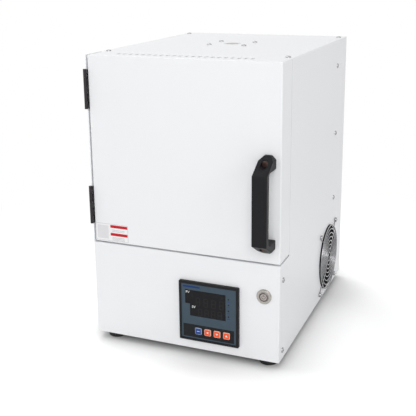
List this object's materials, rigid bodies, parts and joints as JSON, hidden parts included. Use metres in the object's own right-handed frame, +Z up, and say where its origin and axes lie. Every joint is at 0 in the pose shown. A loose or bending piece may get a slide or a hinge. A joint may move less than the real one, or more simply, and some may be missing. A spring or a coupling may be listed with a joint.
{
  "type": "muffle furnace",
  "caption": "Bench muffle furnace: an enamelled steel cabinet with an insulated heated chamber behind a side-hinged door, a temperature controller, a power button and a side cooling fan",
  "frame": {"origin": "on the bench, under the middle of the whole furnace, handle, hinges, fan guard and cable inlet included", "axes": "+X to the right when facing the door, +Y from the door to the back, +Z up"},
  "size_m": [0.3108, 0.452, 0.4582],
  "materials": {
    "white_enamel": "satin",
    "galvanised_sheet": "satin",
    "hinge_steel": "satin",
    "plated_screws": "satin",
    "black_screws": "satin",
    "guard_wire": "polished",
    "stainless": "satin",
    "fibre": "matte",
    "refractory": "matte",
    "coil_wire": "matte",
    "black_rubber": "matte",
    "black_plastic": "matte",
    "fan_plastic": "matte",
    "slate_plastic": "satin",
    "display_glass": "gloss",
    "blue_key": "satin",
    "orange_key": "satin",
    "magnet": "matte",
    "terminal_plastic": "matte",
    "sink_metal": "satin",
    "grey_plastic": "matte"
  },
  "bodies": {
    "cabinet": {"base_pan": "galvanised_sheet", "cable_inlet": "grey_plastic", "controller_case": "black_plastic", "controller_clamp": "black_plastic", "controller_face": "slate_plastic", "display_lens": "display_glass", "divider_shelf": "galvanised_sheet", "door_magnet": "magnet", "exhaust_flange": "galvanised_sheet", "exhaust_tube": "refractory", "fan_frame": "fan_plastic", "fan_guard": "guard_wire", "fan_screws": "plated_screws", "foot_screws": "plated_screws", "front_frame": "stainless", "hearth_plate": "refractory", "heat_sink": "sink_metal", "heater_panel_left": "fibre", "heater_panel_right": "fibre", "heating_coil_left": "coil_wire", "heating_coil_right": "coil_wire", "hinge_fixed_leaves": "hinge_steel", "hinge_pins": "hinge_steel", "hinge_rivets": "hinge_steel", "inlet_nut": "grey_plastic", "insulation_bottom": "fibre", "insulation_rear": "fibre", "insulation_sides": "fibre", "insulation_top": "fibre", "left_side_panel": "white_enamel", "lower_front_panel": "white_enamel", "muffle": "fibre", "power_switch_body": "stainless", "power_switch_nut": "stainless", "rear_bulkhead": "galvanised_sheet", "rear_panel": "white_enamel", "rear_screws": "plated_screws", "relay": "black_plastic", "right_side_panel": "white_enamel", "rubber_feet": "black_rubber", "side_screws": "plated_screws", "terminal_block": "terminal_plastic", "thermocouple": "refractory", "top_panel": "white_enamel", "top_screws": "plated_screws"},
    "door": {"door_back_plate": "stainless", "door_insulation": "fibre", "door_shell": "white_enamel", "handle": "black_plastic", "handle_screws": "black_screws", "hinge_door_leaves": "hinge_steel", "hinge_door_screws": "hinge_steel"},
    "fan_impeller": {"fan_impeller": "fan_plastic"},
    "power_button": {"power_button": "stainless"},
    "key_set": {"key_set": "blue_key"},
    "key_left": {"key_left": "orange_key"},
    "key_down": {"key_down": "orange_key"},
    "key_up": {"key_up": "orange_key"}
  },
  "joints": [
    {"name": "door_hinge", "type": "hinge", "parent": "cabinet", "child": "door", "pos_m": [-0.1528, -0.1869, 0.3147], "axis": [0, 0, -1], "range_deg": [0, 170]},
    {"name": "fan_spin", "type": "hinge", "parent": "cabinet", "child": "fan_impeller", "pos_m": [0.13, 0.106, 0.0756], "axis": [1, 0, 0], "continuous": true},
    {"name": "power_button_press", "type": "slide", "parent": "cabinet", "child": "power_button", "axis": [0, 1, 0], "range_m": [0, 0.002], "stiffness_N_per_m": 800, "springref_m": -0.001},
    {"name": "key_set_press", "type": "slide", "parent": "cabinet", "child": "key_set", "axis": [0, 1, 0], "range_m": [0, 0.0006], "stiffness_N_per_m": 500, "springref_m": -0.001},
    {"name": "key_left_press", "type": "slide", "parent": "cabinet", "child": "key_left", "axis": [0, 1, 0], "range_m": [0, 0.0006], "stiffness_N_per_m": 500, "springref_m": -0.001},
    {"name": "key_down_press", "type": "slide", "parent": "cabinet", "child": "key_down", "axis": [0, 1, 0], "range_m": [0, 0.0006], "stiffness_N_per_m": 500, "springref_m": -0.001},
    {"name": "key_up_press", "type": "slide", "parent": "cabinet", "child": "key_up", "axis": [0, 1, 0], "range_m": [0, 0.0006], "stiffness_N_per_m": 500, "springref_m": -0.001}
  ]
}
